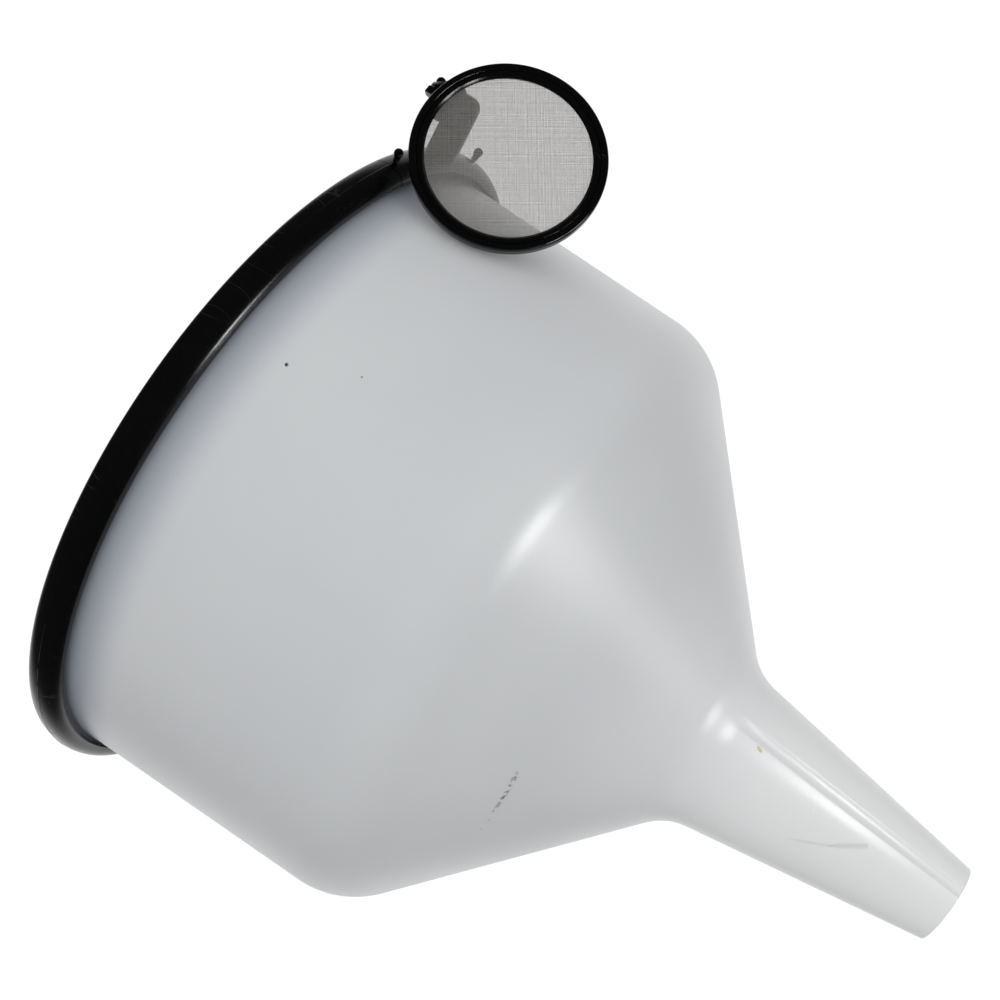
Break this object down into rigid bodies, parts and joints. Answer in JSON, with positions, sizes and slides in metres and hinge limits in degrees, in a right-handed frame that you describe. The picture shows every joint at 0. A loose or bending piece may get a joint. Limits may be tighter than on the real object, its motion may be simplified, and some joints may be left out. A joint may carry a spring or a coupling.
{
  "type": "funnel",
  "caption": "Large moulded funnel with a clip-on rim trim and a wire-gauze strainer that hangs and swings from a tongue on the rim.",
  "frame": {"origin": "on the funnel's axis, level with the lowest point of the spout's slanted tip", "axes": "+Z along the axis from the spout's tip to the mouth, +X out through the tongue on the rim"},
  "size_m": [0.293, 0.25, 0.2814],
  "materials": {
    "milky_plastic": "semi-gloss, natural translucent polyethylene",
    "black_plastic": "gloss, moulded",
    "wire_gauze": "fine woven wire"
  },
  "bodies": {
    "funnel": {"funnel_body": "milky_plastic", "rim_trim": "black_plastic", "tongue_connector": "black_plastic", "connector_pin_left": "black_plastic", "connector_pin_right": "black_plastic"},
    "handle": {"strainer_handle": "black_plastic", "hinge_pin": "black_plastic"},
    "strainer": {"strainer_outer_hoop": "black_plastic", "strainer_inner_hoop": "black_plastic", "strainer_gauze": "wire_gauze"}
  },
  "joints": [
    {"name": "handle_unhook", "type": "slide", "parent": "funnel", "child": "handle", "axis": [0, -1, 0], "range_m": [0, 0.025]},
    {"name": "strainer_swing", "type": "hinge", "parent": "handle", "child": "strainer", "pos_m": [0.14145, -0.0212, 0.2793], "axis": [-0.8396, -0.5432, 0], "range_deg": [-1.5, 150]}
  ]
}
